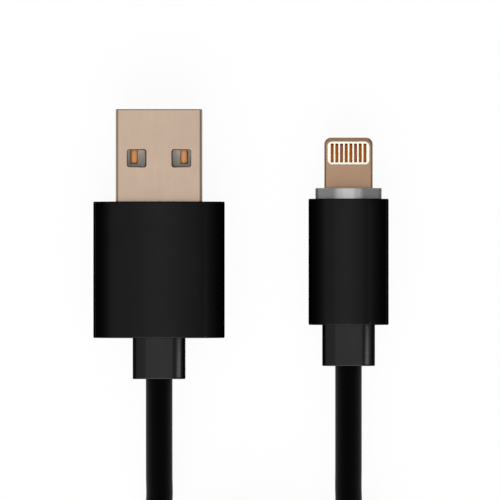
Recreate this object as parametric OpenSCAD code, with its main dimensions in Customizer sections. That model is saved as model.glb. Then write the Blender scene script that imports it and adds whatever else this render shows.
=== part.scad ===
// Charging cable with a USB-A plug at one end and an 8-contact phone plug at the other.
// The two plugs lie side by side on the table, tips towards +Y. The cord between them is
// folded into a flat hank behind them and held at its waist by a hook-and-loop strap.
// Millimetres, +Z up. The origin is on the table, under the middle of the pair of plugs.

/* [Layout] */
// Distance between the axes of the two plugs
plug_pitch = 26.3; // [24:0.1:40]
// Distance that the phone plug's tip lies behind the tip of the USB plug
phone_setback = 3.9; // [0:0.1:8]

/* [USB shell] */
// Width of the steel shell
shell_w = 12.0; // [11:0.1:13]
// Height of the steel shell
shell_h = 4.5; // [4:0.1:5]
// Length of the shell in front of the housing
shell_out = 12.8; // [11.5:0.1:15]
// Length of the shell inside the housing
shell_in = 5.0; // [4:0.1:6]
// Thickness of the shell's sheet
shell_wall = 0.3; // [0.2:0.05:0.4]
// Corner radius of the shell's section
shell_corner = 0.6; // [0.45:0.05:0.9]
// Width of a latch window
window_w = 2.7; // [2:0.1:3.2]
// Length of a latch window
window_l = 2.5; // [2:0.1:3]
// Corner radius of a latch window
window_corner = 0.3; // [0.1:0.05:0.6]
// Distance from the shell's mouth to the latch windows
window_setback = 5.45; // [4.5:0.05:6]
// Distance between the middles of the two windows on one face
window_pitch = 6.26; // [5:0.02:7]
// Gap along the folded shell's seam
seam_gap = 0.1; // [0.05:0.05:0.2]
// Reach of the seam's dovetail to each side
seam_key = 1.1; // [0.8:0.1:1.5]

/* [USB contacts] */
// Distance from the shell's mouth to the tip of the plastic tongue
tongue_setback = 0.4; // [0.2:0.1:1]
// Thickness of the tongue
tongue_t = 1.85; // [1.6:0.05:2]
// Depth of the socket above the tongue, from the shell's mouth
socket_depth = 11.8; // [11:0.1:12]
// Width of a contact strip
contact_w = 1.0; // [0.8:0.05:1.2]
// Thickness of a contact strip
contact_t = 0.25; // [0.15:0.05:0.3]
// Height that a contact stands proud of the tongue
contact_proud = 0.05; // [0.02:0.01:0.1]
// Distance from the shell's mouth to the front of the contacts
contact_front = 1.6; // [1.2:0.1:2.5]
// Distance from the shell's mouth to the place where the contacts dive into the plastic
contact_back = 7.35; // [6.5:0.05:9]
// Depth that the contacts dive
contact_dive = 0.35; // [0.3:0.05:0.5]
// Distance between the two middle contacts
contact_inner_pitch = 2.0; // [1.8:0.1:2.4]
// Distance between the two outer contacts
contact_outer_pitch = 7.0; // [6.4:0.1:7.6]
// Length of the contact tails behind the shell
tail_l = 2.6; // [2:0.1:3.5]
// Length of the rear shield can
can_l = 7.0; // [6:0.1:8]

/* [USB housing] */
// Width of the housing
usb_body_w = 18.2; // [16:0.1:20]
// Height of the housing
usb_body_h = 8.6; // [8:0.1:10]
// Length of the housing
usb_body_l = 18.9; // [18:0.1:24]
// Corner radius of the housing's section
usb_body_corner = 2.4; // [1.6:0.1:3.4]
// Wall of the housing
usb_wall = 1.1; // [0.8:0.1:1.3]
// Depth of the inner mould's face behind the housing's front edge
front_recess = 0.25; // [0.1:0.05:0.6]

/* [Phone plug] */
// Width of the contact tab
tab_w = 6.7; // [6.4:0.05:7]
// Thickness of the contact tab
tab_t = 1.5; // [1.3:0.05:1.7]
// Length of the tab in front of the collar
tab_out = 7.0; // [6:0.1:8]
// Radius of the tab's two front corners
tab_tip_r = 0.9; // [0.5:0.05:1.4]
// Radius along the tab's edges
tab_edge_r = 0.35; // [0.2:0.05:0.5]
// Width of the contact insert
insert_w = 5.85; // [5.5:0.05:6]
// Length of the contact insert
insert_l = 3.2; // [2.8:0.05:3.6]
// Distance from the tab's tip to the insert
insert_setback = 0.53; // [0.4:0.01:0.9]
// Corner radius of the insert
insert_corner = 0.42; // [0.2:0.02:0.6]
// Number of contacts on each face
pin_count = 8; // [6:1:8]
// Distance from one contact to the next
pin_pitch = 0.65; // [0.6:0.01:0.7]
// Width of a contact
pin_w = 0.38; // [0.3:0.01:0.44]
// Length of a contact
pin_l = 2.6; // [2:0.1:2.7]
// Thickness of a contact
pin_t = 0.12; // [0.08:0.01:0.2]
// Radius of the latch dimples in the tab's sides
dimple_r = 0.6; // [0.5:0.05:0.65]
// Depth of the latch dimples
dimple_depth = 0.25; // [0.15:0.05:0.3]
// Distance from the tab's tip to the latch dimples
dimple_setback = 4.9; // [4.5:0.1:5.5]
// Width of the tab's root shoulder
shoulder_w = 8.0; // [7.4:0.1:8.6]
// Height of the tab's root shoulder
shoulder_h = 2.6; // [2:0.1:3.2]
// Length of the tab's root shoulder
shoulder_l = 1.2; // [0.8:0.1:1.6]

/* [Collar] */
// Width of the collar
collar_w = 9.2; // [8.8:0.1:10]
// Height of the collar
collar_h = 5.6; // [5:0.1:6.2]
// Length of the collar in front of the housing
collar_l = 1.5; // [1:0.1:2]
// Corner radius of the collar's section
collar_corner = 0.7; // [0.4:0.1:1.2]
// Width of the flat in the middle of the collar's top and underside
collar_flat = 1.5; // [1:0.1:3]
// Width over which each face bends down beside the flat, into an even slope
collar_bend = 1.7; // [1:0.1:2.4]
// Height by which each face falls from its middle to the collar's sides
collar_fall = 1.1; // [0.5:0.1:1.3]
// Width of the collar's spigot
spigot_w = 8.2; // [7.6:0.1:8.4]
// Height of the collar's spigot
spigot_h = 4.4; // [4:0.1:4.6]
// Depth of the spigot, which is the wall of the housing's front
spigot_l = 1.2; // [1:0.1:1.5]

/* [Phone plug housing] */
// Width of the housing
phone_body_w = 11.1; // [10.6:0.1:13]
// Height of the housing
phone_body_h = 7.4; // [7:0.1:8.6]
// Length of the housing
phone_body_l = 17.5; // [17:0.1:22]
// Corner radius of the housing's section
phone_body_corner = 3.6; // [2:0.1:3.6]
// Side wall of the housing
phone_wall = 0.8; // [0.6:0.1:0.9]
// Rear wall of the housing
phone_rear_wall = 1.0; // [0.8:0.1:1.4]

/* [Phone plug board] */
// Width of the board
board_w = 7.6; // [7:0.1:8]
// Thickness of the board
board_t = 0.6; // [0.5:0.05:0.8]
// Length of the board behind the tab's root
board_l = 7.5; // [7:0.1:8]
// Width of the board's tongue inside the tab
board_tongue_w = 5.0; // [4:0.1:5.4]
// Side of the identity chip
chip_w = 2.6; // [2:0.1:3]
// Height of the identity chip
chip_h = 0.7; // [0.5:0.05:0.9]
// Distance from the board's front to the identity chip
chip_setback = 0.6; // [0.3:0.1:1]
// Diameter of the dot that marks the identity chip's first corner
chip_dot_d = 0.4; // [0.3:0.1:0.6]
// Depth of that dot
chip_dot_depth = 0.1; // [0.05:0.05:0.2]
// Width of the power chip
power_w = 2.2; // [1.8:0.1:2.6]
// Length of the power chip
power_l = 1.7; // [1.4:0.1:2]
// Height of the power chip
power_h = 0.6; // [0.4:0.05:0.9]
// Length of a capacitor
cap_l = 1.0; // [0.6:0.1:1.2]
// Width and height of a capacitor
cap_w = 0.5; // [0.3:0.05:0.6]
// Distance between the two rows of capacitors
cap_pitch = 1.8; // [1.4:0.1:2.2]
// Distance between the leads' solder pads
pad_pitch = 1.6; // [1.4:0.1:1.8]
// Margin from the solder joints to the rear edge of what carries them
pad_edge = 0.3; // [0.2:0.05:0.5]

/* [Strain reliefs] */
// Width of a strain relief
relief_w = 7.3; // [6:0.1:8]
// Height of a strain relief
relief_h = 5.6; // [5:0.1:5.6]
// Corner radius of a strain relief's section
relief_corner = 1.8; // [1.4:0.1:2.6]
// Length of a strain relief behind its housing
relief_l = 5.7; // [4:0.1:9]
// Thickness of a strain relief's flange inside its housing
flange_t = 1.6; // [1:0.1:2]

/* [Cord] */
// Diameter of the cord
cord_d = 3.7; // [3:0.1:4]
// Diameter of the leads inside the cord
lead_d = 0.9; // [0.7:0.05:0.95]
// Wall of the crimp ferrules
crimp_wall = 0.35; // [0.2:0.05:0.5]
// Length of the crimp ferrules
crimp_l = 1.5; // [1:0.1:1.5]
// Length of bare solder at the end of each lead
solder_l = 1.0; // [0.6:0.1:1.2]
// Width of a solder joint
solder_w = 0.8; // [0.6:0.05:0.9]
// Length of the cord's jacket inside the USB plug's rear shield
usb_jacket_in = 1.5; // [1:0.1:2]
// Length of the cord's jacket in front of the phone plug's ferrule
phone_jacket_in = 0.2; // [0.1:0.05:0.4]

/* [Hank] */
// Clear distance from the rear of the plugs to the hank
hank_away = 20.1; // [20:0.1:40]
// Whole turns of the cord, to which the two ends add one more fold
hank_turns = 4; // [2:1:5]
// Radius of the innermost fold, in cord diameters
fold_diameters = 3.03; // [3:0.01:4]
// Clear gap between one turn and the next
turn_gap = 0.62; // [0.6:0.02:1]
// Clear gap between the two layers
layer_gap = 0.5; // [0.45:0.05:1]
// Radius at which the innermost runs bend in towards the waist
waist_r = 26; // [24:1:40]
// Straight part of a run, to each side of the waist
run_straight = 2.9; // [1:0.1:20]
// Angle by which the runs lean in towards the waist
waist_lean = 26; // [10:1:28]
// Width of the strap
tie_w = 9.5; // [6:0.5:16]
// Thickness of the strap
tie_t = 0.9; // [0.6:0.1:1.5]
// Clearance between the strap and the cord
tie_gap = 0.15; // [0.1:0.05:0.3]
// Length of the strap's end that laps over itself
tie_lap = 15; // [8:0.5:17]
// Distance that the cord stays level past each edge of the strap
tie_level = 0.5; // [0.3:0.1:1]

/* [Fits] */
// Clearance between pieces that fit in one another
fit = 0.05; // [0.03:0.01:0.08]
// Radius of the housings' and reliefs' end edges
edge_r = 0.2; // [0.1:0.05:0.3]

/* [Hidden] */

$fn = 48;
// Facets in each rounded corner of a section, and in each small edge radius
corner_steps = 8;
edge_steps = 3;
// Facets across each face of the collar
collar_steps = 16;
// What a cutter reaches past the face that it opens
over = 1;

STEEL = [0.78, 0.69, 0.61];
TIN = [0.75, 0.74, 0.72];
GOLD = [0.84, 0.55, 0.31];
BLACK = [0.10, 0.10, 0.10];
RELIEF_GREY = [0.19, 0.18, 0.18];
WHITE = [0.93, 0.93, 0.91];
BOARD_GREEN = [0.08, 0.30, 0.16];

// Both plugs, placed so that the origin is under the middle of the pair
usb_l = shell_out + usb_body_l + relief_l;
phone_l = tab_out + collar_l + phone_body_l + relief_l;
rear_reach = max(usb_l, phone_setback + phone_l);
pair_w = usb_body_w / 2 + plug_pitch + phone_body_w / 2;
usb_x = usb_body_w / 2 - pair_w / 2;
phone_x = usb_x + plug_pitch;
usb_front = rear_reach / 2 - shell_out;
phone_front = rear_reach / 2 - phone_setback - tab_out - collar_l;
usb_axis = usb_body_h / 2;
phone_axis = phone_body_h / 2;
usb_exit = usb_front - usb_body_l - relief_l;
phone_exit = phone_front - phone_body_l - relief_l;

// USB plug, measured from its housing's front face, towards the tip
bore_w = shell_w - 2 * shell_wall;
bore_h = shell_h - 2 * shell_wall;
tongue_w = bore_w - 2 * fit;
tongue_low = fit - bore_h / 2;
tongue_top = tongue_low + tongue_t;
base_front = shell_out - socket_depth;
pad_top = tongue_top + contact_proud;
tail_top = pad_top - contact_dive;
tail_back = -shell_in - tail_l;
shelf_w = contact_outer_pitch + 3 * contact_w;
can_front = -shell_in - fit;
can_back = can_front - can_l;
usb_cavity_w = usb_body_w - 2 * usb_wall;
usb_cavity_h = usb_body_h - 2 * usb_wall;
usb_cavity_corner = usb_body_corner - usb_wall;
usb_flange_front = -usb_body_l + usb_wall + flange_t + fit;
usb_jacket_front = can_back + usb_jacket_in;
usb_pad_front = tail_back + pad_edge;
contact_x = [-contact_outer_pitch / 2, -contact_inner_pitch / 2,
             contact_inner_pitch / 2, contact_outer_pitch / 2];

// Phone plug, measured from its housing's front face
tab_tip = collar_l + tab_out;
insert_front = tab_tip - insert_setback;
insert_back = insert_front - insert_l;
shoulder_front = -spigot_l - fit;
board_front = shoulder_front - shoulder_l - fit;
board_back = board_front - board_l;
phone_cavity_w = phone_body_w - 2 * phone_wall;
phone_cavity_h = phone_body_h - 2 * phone_wall;
phone_cavity_corner = phone_body_corner - phone_wall;
phone_flange_front = -phone_body_l + phone_rear_wall + flange_t + fit;
phone_crimp_front = phone_flange_front + fit + crimp_l + fit;
phone_jacket_front = phone_crimp_front + phone_jacket_in;
phone_pad_front = board_back + pad_edge;
chip_y = board_front - chip_setback - chip_w / 2;
cap_x = (chip_w + board_w) / 4;
mould_wall = 0.5;
// The spigot is sunk in the collar past its rounded edge
spigot_root = 2 * edge_r;
// What the corners of an oval section fall short of a half circle
oval_flat = 0.1;
spigot_corner = spigot_h / 2 - oval_flat;
pad_x = [for (k = [-1.5 : 1.5]) k * pad_pitch];

// Leads lie two over two inside the jacket
lead_offset = 0.62;
LEAD_PLACES = [[-1, 1], [-1, -1], [1, -1], [1, 1]];
LEAD_COLOURS = ["firebrick", "whitesmoke", "seagreen", "dimgray"];
lead_steps = 6;
solder_steps = 8;

// The hank: runs and folds by turns, in rings of the tube
run_rings = 4;
fold_rings = 8;
half_rings = run_rings + fold_rings;
hank_runs = 2 * hank_turns + 2;
last_ring = hank_runs * run_rings + (hank_runs - 1) * fold_rings;
climb_start = (hank_turns + 1) * half_rings;
climb_end = climb_start + run_rings;
turn_step = cord_d + turn_gap;
layer_step = cord_d + layer_gap;
fold_r = fold_diameters * cord_d;
// Every run is a curve beside the same two centres, so the turns stay one step apart
bend_sum = fold_r + waist_r;
waist_x = bend_sum * cos(waist_lean) - run_straight * sin(waist_lean);
fold_y = bend_sum * sin(waist_lean) + run_straight * cos(waist_lean);
hank_lift = tie_t + tie_gap;
// The lift starts to fall past the strap's edge and ends where the innermost fold begins
lift_level = tie_w / 2 + tie_level;
lift_end = fold_y - fold_r * sin(waist_lean);
floor_z = cord_d / 2;
// The hank's two ends are as far outside the plugs on the left as on the right
hank_x = (usb_x + phone_x + turn_step / 2) / 2;
top_ring = half_rings + run_rings + fold_rings / 2;
hank_y = -rear_reach / 2 - hank_away - cord_d / 2 - turn_r(top_ring) - fold_y;

// The two free stretches between the plugs and the hank, by the shares of the way that each
// point has gone: to the side, back, and down or up
usb_bends = [
    [0, 0, 0], [0, 0.1, 0], [0, 0.19, 0.04], [0, 0.28, 0.16],
    [0, 0.37, 0.37], [0, 0.46, 0.63], [0.06, 0.55, 0.84], [0.22, 0.64, 0.96],
    [0.5, 0.73, 1], [0.78, 0.82, 1], [0.94, 0.91, 1], [1, 1, 1]
];
phone_bends = [
    [0, 0, 0], [0, 0.1, 0], [0, 0.19, 0], [0, 0.28, 0],
    [0, 0.37, 0], [0, 0.46, 0.01], [0.03, 0.55, 0.14], [0.18, 0.64, 0.44],
    [0.46, 0.73, 0.79], [0.76, 0.82, 0.97], [0.94, 0.91, 1], [1, 1, 1]
];
usb_route = free_route([usb_x, usb_exit, usb_axis], hank_end(-1), usb_bends);
phone_route = free_route([phone_x, phone_exit, phone_axis], hank_end(1), phone_bends);

// ---------------------------------------------------------------- shapes

// A rectangle's corners: the side and the end that each is at, and the angle where its arc starts
CORNERS = [[1, 1, 0], [-1, 1, 90], [-1, -1, 180], [1, -1, 270]];
function corner_arc(w, h, r, q, steps) = [
    for (k = [0 : steps])
        let (a = q[2] + 90 * k / steps)
            [q[0] * (w / 2 - r) + r * cos(a), q[1] * (h / 2 - r) + r * sin(a)]
];
function round_rect(w, h, r, steps = corner_steps) = [
    for (q = CORNERS) each corner_arc(w, h, r, q, steps)
];

// The same with its top and its underside each in n stretches
function fine_rect(w, h, r, n) = [
    for (q = CORNERS)
        each concat(
            corner_arc(w, h, r, q, corner_steps),
            [for (k = [1 : q[0] == q[1] ? n - 1 : 0]) [q[0] * (w / 2 - r) * (1 - 2 * k / n), q[1] * h / 2]]
        )
];

// Extrudes a section in X and Z from the plane y = front, backwards
module along_y(front, length) {
    translate([0, front, 0])
        rotate([90, 0, 0])
            linear_extrude(length)
                children();
}

module bar(w, h, r, front, length) {
    along_y(front, length)
        polygon(round_rect(w, h, r));
}

module rod(d, front, length) {
    along_y(front, length)
        circle(d = d);
}

// A box between two corners
module block(low, high) {
    translate(low)
        cube(high - low);
}

// Rounds the end edges of a bar on all four sides
module soft_ends(w, h, front, length) {
    intersection() {
        children();
        translate([0, front - length / 2, -h])
            linear_extrude(2 * h)
                polygon(round_rect(w, length, edge_r, edge_steps));
        translate([-w, front - length / 2, 0])
            rotate([90, 0, 90])
                linear_extrude(2 * w)
                    polygon(round_rect(length, h, edge_r, edge_steps));
    }
}

module soft_bar(w, h, r, front, length) {
    soft_ends(w, h, front, length)
        bar(w, h, r, front, length);
}

function unit(v) = v / norm(v);
// Every tube ends square to Y
function heading(p, k) =
    k == 0 ? [0, sign(p[1][1] - p[0][1]), 0]
    : k == len(p) - 1 ? [0, sign(p[k][1] - p[k - 1][1]), 0]
    : unit(p[k + 1] - p[k - 1]);
function ring(centre, along, r, sides) =
    let (side = unit(cross(along, [0, 0, 1])), up = cross(side, along))
        [for (k = [0 : sides - 1])
            let (a = 360 * (k + (sides == 6 ? 0 : 0.5)) / sides)
                centre + r * (cos(a) * side + sin(a) * up)];

// One closed tube swept along points, with a ring of vertices at each
module tube(points, d, sides) {
    n = len(points);
    rings = [for (k = [0 : n - 1]) each ring(points[k], heading(points, k), d / 2, sides)];
    walls = [for (k = [0 : n - 2], s = [0 : sides - 1])
        let (a = k * sides + s, b = k * sides + (s + 1) % sides)
            each [[a, b, b + sides], [a, b + sides, a + sides]]];
    start_cap = [for (s = [1 : sides - 2]) [0, s + 1, s]];
    last = (n - 1) * sides;
    end_cap = [for (s = [1 : sides - 2]) [last, last + s, last + s + 1]];
    polyhedron(points = rings, faces = concat(walls, start_cap, end_cap), convexity = 10);
}

module at_usb() {
    translate([usb_x, usb_front, usb_axis])
        children();
}

module at_phone() {
    translate([phone_x, phone_front, phone_axis])
        children();
}

// ---------------------------------------------------------------- USB plug

// Both faces have two latch windows, and the underside has the sheet's dovetailed seam
module usb_shell() {
    length = shell_out + shell_in;
    window_y = shell_out - window_setback - window_l / 2;
    at_usb()
        color(STEEL)
            difference() {
                bar(shell_w, shell_h, shell_corner, shell_out, length);
                bar(bore_w, bore_h, shell_corner - shell_wall, shell_out + over, length + 2 * over);
                for (side = [-1, 1])
                    translate([side * window_pitch / 2, window_y, -shell_h])
                        linear_extrude(2 * shell_h)
                            polygon(round_rect(window_w, window_l, window_corner, edge_steps));
                translate([0, 0, -shell_h / 2 - over])
                    linear_extrude(shell_wall + 2 * over)
                        seam(shell_out + over, -shell_in - over, window_y);
            }
}

// The seam's thin gap: straight, with one dovetail key
module seam(front, back, middle) {
    g = seam_gap / 2;
    root = seam_key / 2;
    polygon([
        [-g, front], [g, front],
        [g, middle + root + g], [seam_key - g, middle + seam_key + g],
        [seam_key + g, middle + seam_key - g], [seam_key + g, middle - seam_key + g],
        [seam_key - g, middle - seam_key - g], [g, middle - root - g],
        [g, back], [-g, back],
        [-g, middle - root + g], [seam_key - g, middle - seam_key + 3 * g],
        [seam_key - g, middle + seam_key - 3 * g], [-g, middle + root - g]
    ]);
}

// One contact: a pad on the tongue that dives into the plastic and runs back as a tail
module contact_strip(grow = 0) {
    front = shell_out - contact_front + grow;
    dive = shell_out - contact_back;
    low = dive - 2 * contact_dive;
    back = usb_pad_front - grow;
    top = pad_top + grow;
    under = pad_top - contact_t - grow;
    translate([-contact_w / 2 - grow, 0, 0])
        rotate([90, 0, 90])
            linear_extrude(contact_w + 2 * grow)
                polygon([
                    [front, under], [front, top], [dive, top], [low, top - contact_dive],
                    [back, top - contact_dive], [back, under - contact_dive],
                    [low, under - contact_dive], [dive, under]
                ]);
}

module usb_insulator() {
    at_usb()
        color(WHITE)
            difference() {
                union() {
                    bar(tongue_w, bore_h - 2 * fit, shell_corner - shell_wall, base_front,
                        base_front + shell_in);
                    block([-tongue_w / 2, base_front - over, tongue_low + shell_wall],
                          [tongue_w / 2, shell_out - tongue_setback, tongue_top]);
                    block([-tongue_w / 2 + shell_wall, base_front - over, tongue_low],
                          [tongue_w / 2 - shell_wall, shell_out - tongue_setback,
                           tongue_low + shell_wall + over / 2]);
                    block([-shelf_w / 2, tail_back, tongue_low],
                          [shelf_w / 2, -shell_in + over, tail_top - contact_t - fit]);
                }
                for (x = contact_x)
                    translate([x, 0, 0])
                        contact_strip(fit);
            }
}

module usb_contacts() {
    at_usb()
        color(GOLD)
            for (x = contact_x)
                translate([x, 0, 0])
                    contact_strip();
}

// A can behind the shell, closed round the cord
module usb_rear_shield() {
    at_usb()
        color(TIN)
            difference() {
                bar(shell_w, shell_h, shell_corner, can_front, can_l);
                bar(bore_w, bore_h, shell_corner - shell_wall, can_front + over,
                    can_l - shell_wall + over);
                rod(cord_d + 2 * fit, can_front, can_l + over);
            }
}

module usb_inner_mould() {
    pocket_back = can_back - fit;
    mould_back = usb_flange_front + fit;
    at_usb()
        color(BLACK)
            difference() {
                bar(usb_cavity_w - 2 * fit, usb_cavity_h - 2 * fit, usb_cavity_corner,
                    -front_recess, -front_recess - mould_back);
                bar(shell_w + 2 * fit, shell_h + 2 * fit, shell_corner + fit, over, over - pocket_back);
                rod(cord_d + 4 * fit + 2 * crimp_wall, pocket_back + over,
                    pocket_back - mould_back + 2 * over);
            }
}

module usb_sleeve() {
    at_usb()
        color(BLACK)
            difference() {
                soft_bar(usb_body_w, usb_body_h, usb_body_corner, 0, usb_body_l);
                bar(usb_cavity_w, usb_cavity_h, usb_cavity_corner, over,
                    usb_body_l - usb_wall + over);
                bar(relief_w + 2 * fit, relief_h + 2 * fit, relief_corner, -usb_wall,
                    usb_body_l + over);
            }
}

// A strain relief with its flange, measured from its housing's rear face
module strain_relief(cavity_w, cavity_h, cavity_corner, wall) {
    difference() {
        union() {
            soft_bar(relief_w, relief_h, relief_corner, wall + flange_t / 2,
                     wall + flange_t / 2 + relief_l);
            bar(cavity_w - 2 * fit, cavity_h - 2 * fit, cavity_corner, wall + flange_t + fit, flange_t);
        }
        rod(cord_d + 2 * fit, wall + flange_t + over, wall + flange_t + relief_l + 2 * over);
    }
}

module usb_strain_relief() {
    at_usb()
        translate([0, -usb_body_l, 0])
            color(RELIEF_GREY)
                strain_relief(usb_cavity_w, usb_cavity_h, usb_cavity_corner, usb_wall);
}

// The ferrule that grips the cord's jacket
module ferrule(front) {
    color(TIN)
        difference() {
            rod(cord_d + 2 * fit + 2 * crimp_wall, front, crimp_l);
            rod(cord_d + 2 * fit, front + over, crimp_l + 2 * over);
        }
}

module usb_crimp() {
    at_usb()
        ferrule(can_back - fit);
}

// The cord's end inside the plug, out to the rear of the strain relief
module usb_jacket_end() {
    at_usb()
        color(BLACK)
            rod(cord_d, usb_jacket_front, usb_jacket_front + usb_body_l + relief_l);
}

// A lead from its place in the jacket to its pad: an easy S, level at both ends
function lead_points(start, end) = [
    for (k = [0 : lead_steps])
        let (t = k / lead_steps, s = (1 - cos(180 * t)) / 2)
            [start[0] + (end[0] - start[0]) * s, start[1] + (end[1] - start[1]) * t,
             start[2] + (end[2] - start[2]) * s]
];

module lead(index, jacket_front, pad_x_list, pad_front, pad_z) {
    place = LEAD_PLACES[index] * lead_offset;
    color(LEAD_COLOURS[index])
        tube(lead_points([place[0], jacket_front + fit, place[1]],
                         [pad_x_list[index], pad_front, pad_z + lead_d / 2 + fit]), lead_d, 8);
}

module usb_lead(index) {
    at_usb()
        lead(index, usb_jacket_front, contact_x, usb_pad_front, tail_top);
}

module usb_lead_red() {
    usb_lead(0);
}

module usb_lead_white() {
    usb_lead(1);
}

module usb_lead_green() {
    usb_lead(2);
}

module usb_lead_black() {
    usb_lead(3);
}

// A fillet of solder on a pad, in front of its lead's end
module solder(pad_front, pad_z) {
    step = 180 / solder_steps;
    translate([0, pad_front + solder_l + fit, pad_z])
        rotate([90, 0, 0])
            linear_extrude(solder_l)
                polygon([for (k = [0 : solder_steps]) solder_w / 2 * [-cos(step * k), sin(step * k)]]);
}

module usb_solder_joints() {
    at_usb()
        color(TIN)
            for (x = contact_x)
                translate([x, 0, 0])
                    solder(usb_pad_front, tail_top);
}

// ---------------------------------------------------------------- phone plug

// The tab's metal frame: an open window for the insert and a tunnel for the board's tongue
module tab_frame() {
    tab_l = tab_tip - shoulder_front + shoulder_l / 2;
    at_phone()
        color(STEEL)
            difference() {
                union() {
                    intersection() {
                        bar(tab_w, tab_t, tab_edge_r, tab_tip, tab_l);
                        translate([0, tab_tip - tab_l, -tab_t])
                            linear_extrude(2 * tab_t)
                                polygon(round_rect(tab_w, 2 * tab_l, tab_tip_r));
                        translate([-tab_w, tab_tip - tab_l, 0])
                            rotate([90, 0, 90])
                                linear_extrude(2 * tab_w)
                                    polygon(round_rect(2 * tab_l, tab_t, tab_edge_r));
                    }
                    bar(shoulder_w, shoulder_h, tab_edge_r, shoulder_front, shoulder_l);
                }
                translate([0, insert_front - insert_l / 2, -tab_t])
                    linear_extrude(2 * tab_t)
                        polygon(round_rect(insert_w, insert_l, insert_corner));
                block([-board_tongue_w / 2 - fit, board_front - over, -board_t / 2 - fit],
                      [board_tongue_w / 2 + fit, insert_back + over / 2, board_t / 2 + fit]);
                for (side = [-1, 1])
                    translate([side * (tab_w / 2 + dimple_r - dimple_depth), tab_tip - dimple_setback, 0])
                        sphere(dimple_r);
            }
}

// The contacts of one face, side by side, with their outer faces at the given height
module pin_row(top, grow = 0) {
    for (k = [0 : pin_count - 1])
        translate([(k - (pin_count - 1) / 2) * pin_pitch, insert_front - insert_l / 2, top - pin_t])
            linear_extrude(pin_t)
                square([pin_w + 2 * grow, pin_l + 2 * grow], center = true);
}

module contact_insert() {
    at_phone()
        color(WHITE)
            difference() {
                translate([0, insert_front - insert_l / 2, -tab_t / 2])
                    linear_extrude(tab_t)
                        polygon(round_rect(insert_w - 2 * fit, insert_l - 2 * fit, insert_corner));
                pin_row(tab_t / 2 + fit, fit / 2);
                pin_row(tab_t / 2, fit / 2);
                pin_row(pin_t - tab_t / 2 - fit, fit / 2);
                pin_row(pin_t - tab_t / 2, fit / 2);
            }
}

module front_contacts() {
    at_phone()
        color(GOLD)
            pin_row(tab_t / 2);
}

module back_contacts() {
    at_phone()
        color(GOLD)
            pin_row(pin_t - tab_t / 2);
}

// The collar's faces are flat in the middle, then bend down into even slopes
function collar_drop(x) =
    let (past = max(abs(x) - collar_flat / 2, 0), bent = min(past, collar_bend))
        pow(bent, 2) / (2 * collar_bend) + past - bent;
function collar_section() =
    let (share = 2 * collar_fall / collar_h / collar_drop(collar_w / 2))
        [for (p = fine_rect(collar_w, collar_h, collar_corner, collar_steps))
            [p[0], p[1] * (1 - share * collar_drop(p[0]))]];

// A ring round the tab's root, pressed into the housing's front by its spigot
module collar() {
    at_phone()
        color(TIN)
            difference() {
                union() {
                    soft_ends(collar_w, collar_h, collar_l, collar_l)
                        along_y(collar_l, collar_l)
                            polygon(collar_section());
                    bar(spigot_w, spigot_h, spigot_corner, spigot_root, spigot_l + spigot_root);
                }
                bar(tab_w + 2 * fit, tab_t + 2 * fit, tab_edge_r, collar_l + over,
                    collar_l + spigot_l + 2 * over);
            }
}

module plug_board() {
    at_phone()
        color(BOARD_GREEN)
            translate([0, 0, -board_t / 2])
                linear_extrude(board_t)
                    polygon([
                        [-board_tongue_w / 2, insert_back], [board_tongue_w / 2, insert_back],
                        [board_tongue_w / 2, board_front], [board_w / 2, board_front],
                        [board_w / 2, board_back], [-board_w / 2, board_back],
                        [-board_w / 2, board_front], [-board_tongue_w / 2, board_front]
                    ]);
}

module id_chip() {
    at_phone()
        color(BLACK)
            translate([0, chip_y, board_t / 2])
                difference() {
                    linear_extrude(chip_h)
                        square(chip_w, center = true);
                    translate([-chip_w / 3, chip_w / 3, chip_h - chip_dot_depth])
                        cylinder(d = chip_dot_d, h = over);
                }
}

// On the board's underside
module power_chip() {
    at_phone()
        color(BLACK)
            translate([0, chip_y, -board_t / 2 - power_h])
                linear_extrude(power_h)
                    square([power_w, power_l], center = true);
}

module board_capacitors() {
    at_phone()
        color("tan")
            for (side = [-1, 1], row = [-1, 1])
                translate([side * cap_x, chip_y + row * cap_pitch / 2, board_t / 2])
                    linear_extrude(cap_w)
                        square([cap_l, cap_w], center = true);
}

module phone_inner_mould() {
    mould_back = phone_flange_front + fit;
    pocket_w = phone_cavity_w - 2 * mould_wall;
    pocket_h = phone_cavity_h - 2 * mould_wall;
    at_phone()
        color(BLACK)
            difference() {
                bar(phone_cavity_w - 2 * fit, phone_cavity_h - 2 * fit, phone_cavity_corner - fit,
                    shoulder_front, shoulder_front - mould_back);
                bar(pocket_w, pocket_h, pocket_h / 2 - oval_flat, over, 2 * over - mould_back);
            }
}

module phone_sleeve() {
    at_phone()
        color(BLACK)
            difference() {
                soft_bar(phone_body_w, phone_body_h, phone_body_corner, 0, phone_body_l);
                bar(phone_cavity_w, phone_cavity_h, phone_cavity_corner, -spigot_l,
                    phone_body_l - spigot_l - phone_rear_wall);
                bar(spigot_w + 2 * fit, spigot_h + 2 * fit, spigot_corner, over, spigot_l + 2 * over);
                bar(relief_w + 2 * fit, relief_h + 2 * fit, relief_corner,
                    -phone_body_l + phone_rear_wall + over, phone_rear_wall + 2 * over);
            }
}

module phone_strain_relief() {
    at_phone()
        translate([0, -phone_body_l, 0])
            color(RELIEF_GREY)
                strain_relief(phone_cavity_w, phone_cavity_h, phone_cavity_corner, phone_rear_wall);
}

module phone_crimp() {
    at_phone()
        ferrule(phone_crimp_front);
}

module phone_jacket_end() {
    at_phone()
        color(BLACK)
            rod(cord_d, phone_jacket_front, phone_jacket_front + phone_body_l + relief_l);
}

module phone_lead(index) {
    at_phone()
        lead(index, phone_jacket_front, pad_x, phone_pad_front, board_t / 2);
}

module phone_lead_red() {
    phone_lead(0);
}

module phone_lead_white() {
    phone_lead(1);
}

module phone_lead_green() {
    phone_lead(2);
}

module phone_lead_black() {
    phone_lead(3);
}

module phone_solder_joints() {
    at_phone()
        color(TIN)
            for (x = pad_x)
                translate([x, 0, 0])
                    solder(phone_pad_front, board_t / 2);
}

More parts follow.
